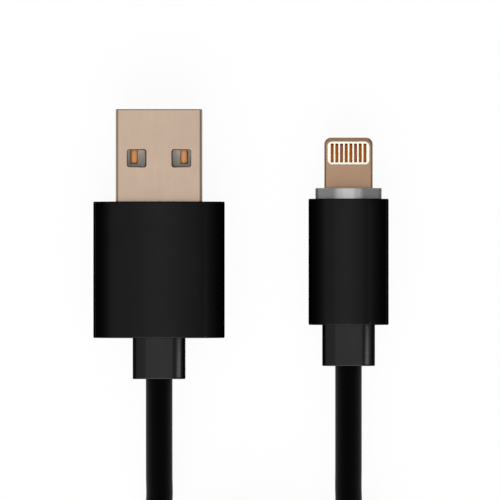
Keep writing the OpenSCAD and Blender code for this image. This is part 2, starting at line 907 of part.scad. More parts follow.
// ---------------------------------------------------------------- cord

function free_route(exit, end, bends) = [
    for (share = bends)
        [for (axis = [0 : 2]) exit[axis] + (end[axis] - exit[axis]) * share[axis]]
];

// The turns spiral in at a steady rate, climb a layer along one run and spiral out again
function turn_r(k) =
    fold_r + turn_step * (k <= climb_start ? climb_start - k : k >= climb_end ? k - climb_end : 0)
    / (2 * half_rings);
function layer_z(k) =
    k <= climb_start ? 0
    : k >= climb_end ? layer_step
    : layer_step * (1 - cos(180 * (k - climb_start) / run_rings)) / 2;

// A place on a fold of radius r, at an angle past the level of the fold's centre
function fold_place(r, a) =
    let (y = fold_y + r * sin(a))
        [r * cos(a), y, tie_lift(y)];

// A place on a run of the turn with fold radius r, by its distance along the run from the waist
function run_place(r, s) =
    let (
        bend = bend_sum - r,
        arc = bend * waist_lean * PI / 180,
        a = min(abs(s), arc) / bend * 180 / PI,
        q = max(abs(s) - arc, 0),
        y = bend * sin(a) + q * cos(waist_lean)
    )
        [waist_x - bend * cos(a) + q * sin(waist_lean), sign(s) * y, tie_lift(y)];

function half_run(r) = (bend_sum - r) * waist_lean * PI / 180 + run_straight;

// The cord is lifted level over the strap, and comes down before the folds
function tie_lift(y) =
    hank_lift * pow(cos(90 * max(0, min((y - lift_level) / (lift_end - lift_level), 1))), 2);

// The tube's centre at ring k: a left run goes down and a right run goes up
function hank_point(k) =
    let (
        half = max(0, min(floor(k / half_rings), hank_runs - 1)),
        f = k - half * half_rings,
        r = turn_r(k),
        swing = k > last_ring ? waist_lean : (180 + 2 * waist_lean) / fold_rings,
        p = f < 0 ? fold_place(r, -waist_lean * (1 + f))
            : f <= run_rings ? run_place(r, half_run(r) * (1 - 2 * f / run_rings))
            : fold_place(r, -waist_lean + swing * (f - run_rings)),
        back = f > run_rings ? -1 : 1,
        side = half % 2 == 0 ? 1 : -1
    )
        [hank_x - side * p[0], hank_y + side * back * p[1], floor_z + layer_z(k) + p[2]];

// The ends run straight for one diameter: end -1 is the USB plug's and end 1 the phone plug's
function hank_end(end) = hank_point(end < 0 ? -1 : last_ring + 1) + [0, cord_d, 0];
function hank_points() = concat(
    [hank_end(-1)],
    [for (k = [-1 : last_ring + 1]) hank_point(k)],
    [hank_end(1)]
);

// Least gap between turns, measured at four places along each stretch from ring to ring
function fine_points(p) = [
    for (k = [0 : len(p) - 2], q = [0 : 3]) p[k] + (p[k + 1] - p[k]) * q / 4
];
function least_gap(p, apart) =
    min([for (a = [0 : len(p) - 1]) for (b = [a + apart : 1 : len(p) - 1]) norm(p[a] - p[b])]) - cord_d;
echo(str("least gap of the hank to itself, mm: ", least_gap(fine_points(hank_points()), 4 * half_rings)));

function route_length(p) =
    len(p) < 2 ? 0 : [for (k = 0, s = 0; k < len(p); k = k + 1,
        s = s + (k < len(p) ? norm(p[k] - p[k - 1]) : 0)) s][len(p) - 1];
echo(str("cord between the strain reliefs, mm: ",
    route_length(usb_route) + route_length(hank_points()) + route_length(phone_route)));

module usb_side_cord() {
    color(BLACK)
        tube(usb_route, cord_d, 8);
}

module cord_hank() {
    color(BLACK)
        tube(hank_points(), cord_d, 6);
}

module phone_side_cord() {
    color(BLACK)
        tube(phone_route, cord_d, 8);
}

// The outline round the outermost runs beside the waist, grown by a distance
module waist_outline(grow) {
    hull()
        for (run = [0, 1, hank_runs - 2, hank_runs - 1], f = [-1, 1]) {
            p = hank_point(run * half_rings + run_rings / 2 + f);
            translate([p[0], p[2]])
                circle(r = cord_d / 2 + grow, $fn = 32);
        }
}

// A strap round the waist, its free end lapped over the top
module cord_tie() {
    lap_z = floor_z + hank_lift + layer_step;
    color("dimgray")
        along_y(hank_y + tie_w / 2, tie_w)
            difference() {
                union() {
                    waist_outline(tie_gap + tie_t);
                    intersection() {
                        waist_outline(tie_gap + 2 * tie_t);
                        translate([hank_x - tie_lap / 2, lap_z])
                            square([tie_lap, cord_d]);
                    }
                }
                waist_outline(tie_gap);
            }
}

usb_shell();
usb_insulator();
usb_contacts();
usb_rear_shield();
usb_inner_mould();
usb_sleeve();
usb_strain_relief();
usb_crimp();
usb_jacket_end();
usb_lead_red();
usb_lead_white();
usb_lead_green();
usb_lead_black();
usb_solder_joints();
tab_frame();
contact_insert();
front_contacts();
back_contacts();
collar();
plug_board();
id_chip();
power_chip();
board_capacitors();
phone_inner_mould();
phone_sleeve();
phone_strain_relief();
phone_crimp();
phone_jacket_end();
phone_lead_red();
phone_lead_white();
phone_lead_green();
phone_lead_black();
phone_solder_joints();
usb_side_cord();
cord_hank();
phone_side_cord();
cord_tie();
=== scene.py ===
"""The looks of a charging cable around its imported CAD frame.

Shapes are worked out in millimetres in the row frame, and become metres in add_mesh().
Both plugs lie on the table with their tips towards +Y, and the camera looks straight down.
"""

import math

import bmesh
import bpy
import numpy as np
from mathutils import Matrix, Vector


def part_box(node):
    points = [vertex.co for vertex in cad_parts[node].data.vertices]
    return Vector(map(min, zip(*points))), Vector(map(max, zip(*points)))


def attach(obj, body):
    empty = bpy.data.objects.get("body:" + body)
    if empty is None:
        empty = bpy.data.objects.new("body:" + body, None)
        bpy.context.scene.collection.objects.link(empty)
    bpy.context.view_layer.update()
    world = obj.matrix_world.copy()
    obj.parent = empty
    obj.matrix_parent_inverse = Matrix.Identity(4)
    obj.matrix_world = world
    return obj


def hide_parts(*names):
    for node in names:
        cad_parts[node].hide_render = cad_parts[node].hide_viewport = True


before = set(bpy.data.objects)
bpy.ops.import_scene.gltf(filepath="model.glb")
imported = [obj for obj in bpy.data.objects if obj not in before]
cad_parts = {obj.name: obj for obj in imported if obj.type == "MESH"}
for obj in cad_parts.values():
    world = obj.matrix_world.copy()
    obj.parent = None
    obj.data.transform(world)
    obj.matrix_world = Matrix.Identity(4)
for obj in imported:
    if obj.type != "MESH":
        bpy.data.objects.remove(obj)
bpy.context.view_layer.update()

MM = 0.001


def node_box(node):
    """Lowest and highest corner of a CAD node, in millimetres."""
    low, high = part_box(node)
    return np.array(low) / MM, np.array(high) / MM


# ------------------------------------------------------------------ camera

VIEW_WIDTH = 69.44
VIEW_CENTRE = (1.24, -0.81)
VIEW_LEVEL = 4.3
LENS = 500
SENSOR = 36
NEAREST = 0.05
FARTHEST = 60


def make_camera():
    """A long lens straight overhead, which frames the photograph's width."""
    data = bpy.data.cameras.new("photo_camera")
    data.lens = LENS
    data.sensor_width = SENSOR
    data.clip_start = NEAREST
    data.clip_end = FARTHEST
    camera = bpy.data.objects.new("photo_camera", data)
    bpy.context.scene.collection.objects.link(camera)
    distance = VIEW_WIDTH * LENS / SENSOR
    camera.location = (VIEW_CENTRE[0] * MM, VIEW_CENTRE[1] * MM, (VIEW_LEVEL + distance) * MM)
    bpy.context.scene.camera = camera


# ------------------------------------------------------------------ the cord's route

CORD_D = 3.7
TURN_GAP = 0.62
LAYER_GAP = 0.5
HANK_TURNS = 4
FOLD_DIAMETERS = 3.03
WAIST_R = 26
RUN_STRAIGHT = 2.9
WAIST_LEAN = math.radians(26)
TIE_W = 9.5
TIE_T = 0.9
TIE_GAP = 0.15
TIE_LAP = 15
TIE_END_R = 3.5
TIE_LEVEL = 0.5
HANK_AWAY = 20.1
CORD_INSIDE = 1.5
STRETCH_STEPS = 6
RING_STEP = 1 / 6

RUN_RINGS = 4
FOLD_RINGS = 8
HALF_RINGS = RUN_RINGS + FOLD_RINGS
HANK_RUNS = 2 * HANK_TURNS + 2
LAST_RING = HANK_RUNS * RUN_RINGS + (HANK_RUNS - 1) * FOLD_RINGS
CLIMB_START = (HANK_TURNS + 1) * HALF_RINGS
CLIMB_END = CLIMB_START + RUN_RINGS
TURN_STEP = CORD_D + TURN_GAP
LAYER_STEP = CORD_D + LAYER_GAP
FOLD_R = FOLD_DIAMETERS * CORD_D
BEND_SUM = FOLD_R + WAIST_R
WAIST_X = BEND_SUM * math.cos(WAIST_LEAN) - RUN_STRAIGHT * math.sin(WAIST_LEAN)
FOLD_Y = BEND_SUM * math.sin(WAIST_LEAN) + RUN_STRAIGHT * math.cos(WAIST_LEAN)
HANK_LIFT = TIE_T + TIE_GAP
LIFT_LEVEL = TIE_W / 2 + TIE_LEVEL
LIFT_END = FOLD_Y - FOLD_R * math.sin(WAIST_LEAN)
CORD_Z = CORD_D / 2

# The two free stretches, by the shares of the way that each point has gone: to the side,
# back, and down or up
USB_BENDS = [
    (0, 0, 0), (0, 0.1, 0), (0, 0.19, 0.04), (0, 0.28, 0.16),
    (0, 0.37, 0.37), (0, 0.46, 0.63), (0.06, 0.55, 0.84), (0.22, 0.64, 0.96),
    (0.5, 0.73, 1), (0.78, 0.82, 1), (0.94, 0.91, 1), (1, 1, 1),
]
PHONE_BENDS = [
    (0, 0, 0), (0, 0.1, 0), (0, 0.19, 0), (0, 0.28, 0),
    (0, 0.37, 0), (0, 0.46, 0.01), (0.03, 0.55, 0.14), (0.18, 0.64, 0.44),
    (0.46, 0.73, 0.79), (0.76, 0.82, 0.97), (0.94, 0.91, 1), (1, 1, 1),
]


def plug_exit(relief):
    """Where the cord leaves a strain relief."""
    low, high = node_box(relief)
    return np.array([(low[0] + high[0]) / 2, low[1], (low[2] + high[2]) / 2])


def turn_r(k):
    """Fold radius at ring k: the turns spiral in, climb a layer along one run and spiral out."""
    away = max(CLIMB_START - k, k - CLIMB_END, 0)
    return FOLD_R + TURN_STEP * away / (2 * HALF_RINGS)


def layer_z(k):
    """How high ring k's layer is."""
    share = min(max((k - CLIMB_START) / RUN_RINGS, 0), 1)
    return LAYER_STEP * (1 - math.cos(math.pi * share)) / 2


def tie_lift(y):
    """The cord is lifted level over the strap, and comes down before the folds."""
    share = min(max((y - LIFT_LEVEL) / (LIFT_END - LIFT_LEVEL), 0), 1)
    return HANK_LIFT * math.cos(math.pi / 2 * share) ** 2


def fold_place(r, angle):
    """A place on a fold of that radius, by its angle round the fold's centre."""
    y = FOLD_Y + r * math.sin(angle)
    return r * math.cos(angle), y, tie_lift(y)


def run_place(r, s):
    """A place on a run of the turn with fold radius r, by its distance from the waist."""
    bend = BEND_SUM - r
    arc = bend * WAIST_LEAN
    angle = min(abs(s), arc) / bend
    rest = max(abs(s) - arc, 0)
    y = bend * math.sin(angle) + rest * math.cos(WAIST_LEAN)
    x = WAIST_X - bend * math.cos(angle) + rest * math.sin(WAIST_LEAN)
    return x, math.copysign(y, s), tie_lift(y)


PLUG_EXITS = {name: plug_exit(name + "_strain_relief") for name in ("usb", "phone")}
HANK_X = (PLUG_EXITS["usb"][0] + PLUG_EXITS["phone"][0] + TURN_STEP / 2) / 2
TOP_RING = HALF_RINGS + RUN_RINGS + FOLD_RINGS / 2
HANK_Y = PLUG_EXITS["usb"][1] - HANK_AWAY - CORD_D / 2 - turn_r(TOP_RING) - FOLD_Y


def hank_point(k):
    """The cord's centre at ring k: a left run goes down and a right run goes up."""
    half = max(0, min(math.floor(k / HALF_RINGS), HANK_RUNS - 1))
    f = k - half * HALF_RINGS
    r = turn_r(k)
    half_run = (BEND_SUM - r) * WAIST_LEAN + RUN_STRAIGHT
    swing = WAIST_LEAN if k > LAST_RING else (math.pi + 2 * WAIST_LEAN) / FOLD_RINGS
    if f < 0:
        p = fold_place(r, -WAIST_LEAN * (1 + f))
    elif f <= RUN_RINGS:
        p = run_place(r, half_run * (1 - 2 * f / RUN_RINGS))
    else:
        p = fold_place(r, -WAIST_LEAN + swing * (f - RUN_RINGS))
    back = -1 if f > RUN_RINGS else 1
    side = 1 if half % 2 == 0 else -1
    return np.array([HANK_X - side * p[0], HANK_Y + side * back * p[1], CORD_Z + layer_z(k) + p[2]])


def hank_end(end):
    """The hank's straight ends: end -1 is the USB plug's and end 1 the phone plug's."""
    return hank_point(-1 if end < 0 else LAST_RING + 1) + np.array([0, CORD_D, 0])


def smooth_route(points, steps):
    """A smooth curve through the points, which leaves and arrives along Y."""
    points = np.array(points, float)
    first = points[0] - (points[1] - points[0]) * (0, 1, 0)
    last = points[-1] + (points[-1] - points[-2]) * (0, 1, 0)
    p = np.vstack([first, points, last])
    out = []
    for k in range(1, len(p) - 2):
        for s in range(steps):
            t = s / steps
            out.append(0.5 * (2 * p[k] + (p[k + 1] - p[k - 1]) * t
                              + (2 * p[k - 1] - 5 * p[k] + 4 * p[k + 1] - p[k + 2]) * t ** 2
                              + (3 * p[k] - p[k - 1] - 3 * p[k + 1] + p[k + 2]) * t ** 3))
    return out + [points[-1]]


def free_route(plug, bends):
    """The free stretch from a plug to the hank, starting a little inside its strain relief."""
    start = PLUG_EXITS[plug]
    way = hank_end(-1 if plug == "usb" else 1) - start
    inside = start + np.array([0, CORD_INSIDE, 0])
    return [inside] + smooth_route([start + way * np.array(share) for share in bends], STRETCH_STEPS)


def cord_route():
    """The cord's centreline, from the USB plug through the hank to the phone plug."""
    rings = [hank_point(k) for k in np.arange(-1, LAST_RING + 1 + RING_STEP / 2, RING_STEP)]
    return free_route("usb", USB_BENDS) + rings + free_route("phone", PHONE_BENDS)[::-1]


# ------------------------------------------------------------------ mesh helpers

CORNER_STEPS = 8
SIDE_STEPS = 48
SMOOTH_ANGLE = 30
BEVEL_ANGLE = 40
BEVEL_SEGMENTS = 2
# A cutter reaches this far past what it cuts
PAST = 1


def add_mesh(name, points, faces, material, smooth_angle=SMOOTH_ANGLE):
    """A mesh object from points in millimetres, smooth apart from edges sharper than the angle."""
    mesh = bpy.data.meshes.new(name)
    mesh.from_pydata([tuple(float(c) * MM for c in p) for p in points], [], faces)
    shape = bmesh.new()
    shape.from_mesh(mesh)
    bmesh.ops.recalc_face_normals(shape, faces=shape.faces)
    shape.to_mesh(mesh)
    shape.free()
    mesh.materials.append(material)
    mesh.shade_smooth()
    mesh.set_sharp_from_angle(angle=math.radians(smooth_angle))
    piece = bpy.data.objects.new(name, mesh)
    bpy.context.scene.collection.objects.link(piece)
    return piece


def loft(rings, closed=False):
    """Points and faces of a skin over rings of equal length, closed on itself or with end caps."""
    n = len(rings[0])
    points = [p for ring in rings for p in ring]
    faces = []
    pairs = len(rings) if closed else len(rings) - 1
    for a in range(pairs):
        b = (a + 1) % len(rings)
        for s in range(n):
            t = (s + 1) % n
            faces.append((a * n + s, a * n + t, b * n + t, b * n + s))
    if not closed:
        faces.append(tuple(reversed(range(n))))
        faces.append(tuple(range((len(rings) - 1) * n, len(rings) * n)))
    return points, faces


def merged(parts):
    """Several (points, faces) as one."""
    points, faces = [], []
    for part_points, part_faces in parts:
        start = len(points)
        points.extend(part_points)
        faces.extend(tuple(i + start for i in face) for face in part_faces)
    return points, faces


def outline(w, h, r, crown, corner_steps, edge_steps, fall=None):
    """A rounded rectangle in X and Z, whose top and bottom fall by crown towards their sides.

    fall gives the share of the crown at a share of the half width, a parabola if left out.
    """
    fall = fall or (lambda share: share ** 2)
    points = []
    centres = [(1, 1, 0), (-1, 1, 90), (-1, -1, 180), (1, -1, 270)]
    for index, (sx, sz, start) in enumerate(centres):
        for k in range(corner_steps + 1):
            a = math.radians(start + 90 * k / corner_steps)
            points.append((sx * (w / 2 - r) + r * math.cos(a), sz * (h / 2 - r) + r * math.sin(a)))
        nx, nz, _ = centres[(index + 1) % 4]
        a = math.radians(start + 90)
        p = (sx * (w / 2 - r) + r * math.cos(a), sz * (h / 2 - r) + r * math.sin(a))
        q = (nx * (w / 2 - r) + r * math.cos(a), nz * (h / 2 - r) + r * math.sin(a))
        for k in range(1, edge_steps):
            t = k / edge_steps
            points.append((p[0] + (q[0] - p[0]) * t, p[1] + (q[1] - p[1]) * t))
    return [(x, z * (1 - 2 * crown / h * fall(2 * abs(x) / w))) for x, z in points]


def outline_xy(w, l, r, x, y, steps=6):
    """A rounded rectangle in X and Y round a centre."""
    return [(x + px, y + py) for px, py in outline(w, l, r, 0, steps, 1)]


def rounded_section(size, grow=0.0):
    """The section of a hole or plug of some width, height and corner radius."""
    w, h, corner = size
    return outline(w + 2 * grow, h + 2 * grow, corner, 0, CORNER_STEPS, SIDE_STEPS)


def level_then_slope(flat, bend, steepening=0.0):
    """A fall that is level up to one share of the half width, and a slope from another.

    The slope is even, or steepens by some part of itself over each half width.
    """
    whole = (bend - flat) / 2 + 1 - bend + steepening * (1 - bend) ** 2 / 2

    def fall(share):
        bent = min(max(share - flat, 0), bend - flat)
        past = max(share - bend, 0)
        return (bent ** 2 / (2 * (bend - flat)) + past + steepening * past ** 2 / 2) / whole

    return fall


def round_steps(radius, steps=4):
    """(distance along, inset) pairs of a rounded end edge, from the end face inwards."""
    angles = [math.pi / 2 * k / steps for k in range(steps + 1)]
    return [(radius * (1 - math.cos(a)), radius * (1 - math.sin(a))) for a in angles]


class Body:
    """A plug's own axes: places are measured from its housing's front face."""

    def __init__(self, housing):
        low, high = node_box(housing)
        self.origin = np.array([(low[0] + high[0]) / 2, high[1], (low[2] + high[2]) / 2])
        self.size = high - low

    def ring(self, section, y):
        """A section's points, at a distance in front of the housing."""
        return [self.origin + (x, y, z) for x, z in section]

    def place(self, points):
        """Points of the plug's own axes as points of the row frame."""
        return [self.origin + np.array(p) for p in points]


usb = Body("usb_sleeve")
phone = Body("phone_sleeve")


def cut(piece, cutter):
    """Cuts one mesh object out of another and deletes the cutter."""
    modifier = piece.modifiers.new("cut", "BOOLEAN")
    modifier.operation = "DIFFERENCE"
    modifier.solver = "EXACT"
    modifier.material_mode = "TRANSFER"
    modifier.object = cutter
    depsgraph = bpy.context.evaluated_depsgraph_get()
    cut_mesh = bpy.data.meshes.new_from_object(piece.evaluated_get(depsgraph))
    piece.modifiers.clear()
    old = piece.data
    piece.data = cut_mesh
    cut_mesh.set_sharp_from_angle(angle=math.radians(SMOOTH_ANGLE))
    bpy.data.meshes.remove(old)
    bpy.data.objects.remove(cutter)


def prism(points_2d, low, high):
    """A prism along Z between two heights, over an outline in X and Y."""
    return loft([[(x, y, low) for x, y in points_2d], [(x, y, high) for x, y in points_2d]])


def rolled_cutter(w, l, r, x, y, face, roll):
    """A cutter through both faces of a sheet box, wider at each face by the rolled edge."""
    rings = []
    for depth, grow in [(-PAST, roll)] + round_steps(roll):
        edge = outline_xy(w + 2 * grow, l + 2 * grow, r + grow, x, y)
        rings.append([(px, py, face - depth) for px, py in edge])
    below = [[(px, py, -pz) for px, py, pz in ring] for ring in reversed(rings)]
    return loft((rings + below)[::-1])


def bevel(piece, width):
    """Softens the edges and keeps the large faces flat in their shading."""
    modifier = piece.modifiers.new("edges", "BEVEL")
    modifier.width = width * MM
    modifier.segments = BEVEL_SEGMENTS
    modifier.limit_method = "ANGLE"
    modifier.angle_limit = math.radians(BEVEL_ANGLE)
    normals = piece.modifiers.new("normals", "WEIGHTED_NORMAL")
    normals.weight = 100
    normals.keep_sharp = True


def finish_piece(piece, slot, *nodes):
    """The piece rides with the one body and stands for its CAD nodes, which it hides. Its slot is not
    used.
    """
    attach(piece, "root")
    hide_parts(*nodes)
    return piece


# ------------------------------------------------------------------ materials

# A noise value outside these two is taken as 0 or 1
NOISE_LOW = 0.3
NOISE_HIGH = 0.7
# Where the painted shade on a bar's ends begins, by share of its half length
END_SHARE = 0.72
# A Mix node's colour sockets
MIX_A = 6
MIX_B = 7
MIX_RESULT = 2


class Look:
    """A Principled material whose colour, roughness and relief vary over the surface."""

    def __init__(self, name, colour, roughness, **sockets):
        self.material = bpy.data.materials.new(name)
        self.material.use_nodes = True
        self.tree = self.material.node_tree
        self.shader = self.tree.nodes["Principled BSDF"]
        self.shader.inputs["Base Color"].default_value = (*colour, 1)
        self.shader.inputs["Roughness"].default_value = roughness
        for socket, value in sockets.items():
            self.shader.inputs[socket.replace("_", " ")].default_value = value
        self.colour = colour
        self.roughness = roughness
        self.normal = None
        self.coordinates = self.tree.nodes.new("ShaderNodeTexCoord").outputs["Object"]

    def node(self, kind, **values):
        """A new node, with its properties and sockets set by name."""
        made = self.tree.nodes.new(kind)
        for key, value in values.items():
            if hasattr(made, key):
                setattr(made, key, value)
            else:
                made.inputs[key.replace("_", " ")].default_value = value
        return made

    def link(self, output, target):
        """Joins a node's output to a socket."""
        self.tree.links.new(output, target)

    def noise(self, size, stretch=(1, 1, 1), detail=3.0, roughness=0.5):
        """Noise whose features are about size millimetres, stretched along each axis."""
        mapping = self.node("ShaderNodeMapping")
        mapping.inputs["Scale"].default_value = tuple(1 / (size * MM * s) for s in stretch)
        texture = self.node("ShaderNodeTexNoise", Scale=1.0, Detail=detail, Roughness=roughness)
        self.link(self.coordinates, mapping.inputs["Vector"])
        self.link(mapping.outputs["Vector"], texture.inputs["Vector"])
        return texture.outputs["Fac"]

    def mapped(self, value, low, high, start=NOISE_LOW, end=NOISE_HIGH):
        """The value from start to end as a number from low to high."""
        node = self.node("ShaderNodeMapRange")
        for socket, number in (("From Min", start), ("From Max", end), ("To Min", low), ("To Max", high)):
            node.inputs[socket].default_value = number
        self.link(value, node.inputs["Value"])
        return node.outputs["Result"]

    def vary_colour(self, value, darker, lighter):
        """The colour goes from darker to lighter times itself as the value goes up."""
        mix = self.node("ShaderNodeMix", data_type="RGBA")
        mix.inputs[MIX_A].default_value = (*[min(c * darker, 1) for c in self.colour], 1)
        mix.inputs[MIX_B].default_value = (*[min(c * lighter, 1) for c in self.colour], 1)
        self.link(self.mapped(value, 0, 1), mix.inputs[0])
        self.link(mix.outputs[MIX_RESULT], self.shader.inputs["Base Color"])
        return self

    def vary_roughness(self, value, spread):
        """The roughness varies by the spread to both sides."""
        self.link(self.mapped(value, self.roughness - spread, self.roughness + spread),
                  self.shader.inputs["Roughness"])
        return self

    def paint_shade_on_ends(self, y, half, darker):
        """Paints shade on the ends of bars that lie along Y round y, within half, in millimetres."""
        split = self.node("ShaderNodeSeparateXYZ")
        away = self.node("ShaderNodeMath", operation="SUBTRACT")
        far = self.node("ShaderNodeMath", operation="ABSOLUTE")
        mix = self.node("ShaderNodeMix", data_type="RGBA", blend_type="MULTIPLY")
        away.inputs[1].default_value = y * MM
        mix.inputs[MIX_B].default_value = (*darker, 1)
        self.link(self.coordinates, split.inputs[0])
        self.link(split.outputs["Y"], away.inputs[0])
        self.link(away.outputs[0], far.inputs[0])
        self.link(self.mapped(far.outputs[0], 0, 1, half * MM * END_SHARE, half * MM), mix.inputs[0])
        base = self.shader.inputs["Base Color"]
        self.link(base.links[0].from_socket, mix.inputs[MIX_A])
        self.link(mix.outputs[MIX_RESULT], base)
        return self

    def relief(self, value, depth, strength=1.0):
        """Bump of that depth in millimetres."""
        bump = self.node("ShaderNodeBump", Strength=strength, Distance=depth * MM)
        self.link(value, bump.inputs["Height"])
        if self.normal is not None:
            self.link(self.normal, bump.inputs["Normal"])
        self.normal = bump.outputs["Normal"]
        self.link(self.normal, self.shader.inputs["Normal"])
        return self


def plated_metal(name, colour, roughness, ends=None, **sockets):
    """Satin plating: fine streaks along the part, and faint cloudy wear. With ends given, shade is painted
    on the ends of bars.
    """
    look = Look(name, colour, roughness, Metallic=1.0, **sockets)
    streaks = look.noise(0.12, (1, 30, 1), detail=4)
    clouds = look.noise(3.0)
    look.vary_colour(clouds, 0.97, 1.02).vary_roughness(streaks, 0.03).relief(streaks, 0.0004)
    if ends:
        look.paint_shade_on_ends(*ends)
    return look.material


def black_anodised(name, colour):
    """Black anodised sleeve: a fine sandblasted grain and almost no rim reflections."""
    look = Look(name, colour, 0.18, Metallic=1.0, Specular_Tint=(0, 0, 0, 1))
    grain = look.noise(0.09, detail=2)
    clouds = look.noise(4.0)
    look.vary_colour(clouds, 0.94, 1.05).vary_roughness(grain, 0.05).relief(grain, 0.0015)
    return look.material


def moulded_plastic(name, colour, roughness, depth=0.002, **sockets):
    """Moulded plastic: fine tool grain of some depth and slight flow marks."""
    look = Look(name, colour, roughness, **sockets)
    fine = look.noise(0.12, detail=2)
    flow = look.noise(2.5, (1, 3, 1))
    look.vary_colour(flow, 0.94, 1.04).vary_roughness(fine, 0.03).relief(fine, depth)
    return look.material


def strap_fabric(name):
    """Loop tape: a dense nap over a woven ground."""
    look = Look(name, (0.02, 0.02, 0.021), 0.85, Sheen_Weight=0.25, Sheen_Roughness=0.5)
    nap = look.noise(0.18, detail=4, roughness=0.65)
    tufts = look.noise(0.7, detail=2)
    look.vary_colour(tufts, 0.7, 1.4).relief(nap, 0.12, 0.7).relief(tufts, 0.08, 0.5)
    return look.material


PIN_L = 2.6
PIN_MIDDLE = (node_box("front_contacts")[0][1] + node_box("front_contacts")[1][1]) / 2
SHELL_STEEL = plated_metal("shell_steel", (0.50, 0.378, 0.292), 0.3, Specular_Tint=(0.7, 0.66, 0.62, 1))
# Bare cut steel, made far darker than cut steel is, as painted shade on the window rims, the seam and the
# mouth's lip
SHEARED_STEEL_PAINTED_SHADE = plated_metal("sheared_steel_painted_shade", (0.062, 0.04, 0.018), 0.5, Specular_Tint=(0.3, 0.22, 0.1, 1))
TAB_STEEL = plated_metal("tab_steel", (0.4, 0.256, 0.168), 0.36, Specular_Tint=(0.25, 0.22, 0.2, 1))
COLLAR_METAL = plated_metal("collar_metal", (0.47, 0.47, 0.466), 0.32, Specular_Tint=(0.4, 0.4, 0.4, 1))
TINNED_METAL = plated_metal("tinned_metal", (0.55, 0.54, 0.52), 0.3)
USB_GOLD = plated_metal("contact_gold", (0.70, 0.31, 0.12), 0.36)
# The pins' ends get painted shade, a darker multiply where they dip into the insert
PHONE_GOLD = plated_metal("contact_bronze", (0.30, 0.085, 0.016), 0.34,
                          ends=(PIN_MIDDLE, PIN_L / 2, (0.4, 0.22, 0.3)))
HOUSING_BLACK = black_anodised("housing_black", (0.0127, 0.0127, 0.0128))
RELIEF_GREY = moulded_plastic("relief_grey", (0.0212, 0.0206, 0.0208), 0.14, depth=0.0007, Metallic=1.0,
                              Specular_Tint=(0, 0, 0, 1))
CORD_BLACK = moulded_plastic("cord_black", (0.0003, 0.0003, 0.0003), 0.5, Specular_IOR_Level=0.003,
                             Sheen_Weight=0.17, Sheen_Roughness=0.45)
TONGUE_WHITE = moulded_plastic("tongue_white", (0.84, 0.76, 0.65), 0.5)
INSERT_WHITE = moulded_plastic("insert_white", (0.99, 0.94, 0.81), 0.4, depth=0.001)
MOULD_BLACK = moulded_plastic("mould_black", (0.02, 0.02, 0.02), 0.5)
BOARD_GREEN = moulded_plastic("board_green", (0.03, 0.16, 0.06), 0.4)
CHIP_BLACK = moulded_plastic("chip_black", (0.03, 0.03, 0.03), 0.6)
CAPACITOR_TAN = moulded_plastic("capacitor_tan", (0.36, 0.24, 0.13), 0.5)
STRAP_BLACK = strap_fabric("strap_fabric")
LEAD_LOOKS = {
    "red": moulded_plastic("lead_red", (0.45, 0.02, 0.015), 0.4),
    "white": moulded_plastic("lead_white", (0.75, 0.75, 0.72), 0.4),
    "green": moulded_plastic("lead_green", (0.02, 0.25, 0.06), 0.4),
    "black": moulded_plastic("lead_black", (0.02, 0.02, 0.02), 0.4),
}


# ------------------------------------------------------------------ the cord

CORD_SIDES = 24
WAIST_STEPS = 48
# The strap climbs over its own first end on a ramp this long
TIE_RAMP = 2.0
TIE_EDGE = 0.3
TIE_STEP = 0.4
# Points of the strap's line within this height of the highest lie on top
SAME_LEVEL = 1e-3


def swept_tube(route, radius, sides):
    """A tube with a ring at each point of the route."""
    route = np.array(route)
    rings = []
    for k, centre in enumerate(route):
        along = route[min(k + 1, len(route) - 1)] - route[max(k - 1, 0)]
        along = along / np.linalg.norm(along)
        side = np.cross(along, (0, 0, 1))
        side /= np.linalg.norm(side)
        up = np.cross(side, along)
        turns = [2 * math.pi * s / sides for s in range(sides)]
        rings.append([centre + radius * (math.cos(a) * side + math.sin(a) * up) for a in turns])
    return loft(rings)


def make_cord():
    """The whole cord, one tube over its three CAD nodes."""
    route = cord_route()
    tube = swept_tube(route, CORD_D / 2, CORD_SIDES)
    piece = add_mesh("charging_cord", *tube, CORD_BLACK, smooth_angle=60)
    return finish_piece(piece, "cord_black", "usb_side_cord", "cord_hank", "phone_side_cord"), route


def waist_outline(grow):
    """The outline round the outermost runs beside the waist, grown by a distance."""
    points = []
    for run in (0, 1, HANK_RUNS - 2, HANK_RUNS - 1):
        for f in (-1, 1):
            p = hank_point(run * HALF_RINGS + RUN_RINGS / 2 + f)
            for k in range(WAIST_STEPS):
                a = math.radians(360 * k / WAIST_STEPS)
                r = CORD_D / 2 + grow
                points.append((p[0] + r * math.cos(a), p[2] + r * math.sin(a)))
    return hull(points)


def hull(points):
    """Convex hull of points in a plane, counter-clockwise."""
    points = sorted(set((round(x, 6), round(z, 6)) for x, z in points))

    def chain(sequence):
        out = []
        for p in sequence:
            while len(out) > 1 and ((out[-1][0] - out[-2][0]) * (p[1] - out[-2][1])
                                    - (out[-1][1] - out[-2][1]) * (p[0] - out[-2][0])) <= 0:
                out.pop()
            out.append(p)
        return out[:-1]

    return chain(points) + chain(points[::-1])


def resampled(points, step):
    """An open line with points about a step apart."""
    line = np.array(points, float)
    along = np.concatenate([[0], np.cumsum(np.linalg.norm(np.diff(line, axis=0), axis=1))])
    at = np.linspace(0, along[-1], max(2, int(round(along[-1] / step)) + 1))
    return np.stack([np.interp(at, along, line[:, k]) for k in (0, 1)], axis=1)


def strap_line():
    """The strap's middle line: once round the waist, up a ramp, and back over its own first end."""
    loop = waist_outline(TIE_GAP + TIE_T / 2)
    start_x = HANK_X + TIE_LAP / 2
    end_x = HANK_X - TIE_LAP / 2
    top = max(z for _, z in loop)
    on_top = [z > top - SAME_LEVEL for _, z in loop]
    first = min(range(len(loop)), key=lambda i: (not on_top[i], abs(loop[i][0] - start_x)))
    line = [(start_x, top)]
    for i in list(range(first, len(loop))) + list(range(first)):
        if not (on_top[i] and end_x <= loop[i][0] <= start_x):
            line.append(loop[i])
    return line + [(start_x + TIE_RAMP, top), (start_x, top + TIE_T), (end_x, top + TIE_T)]


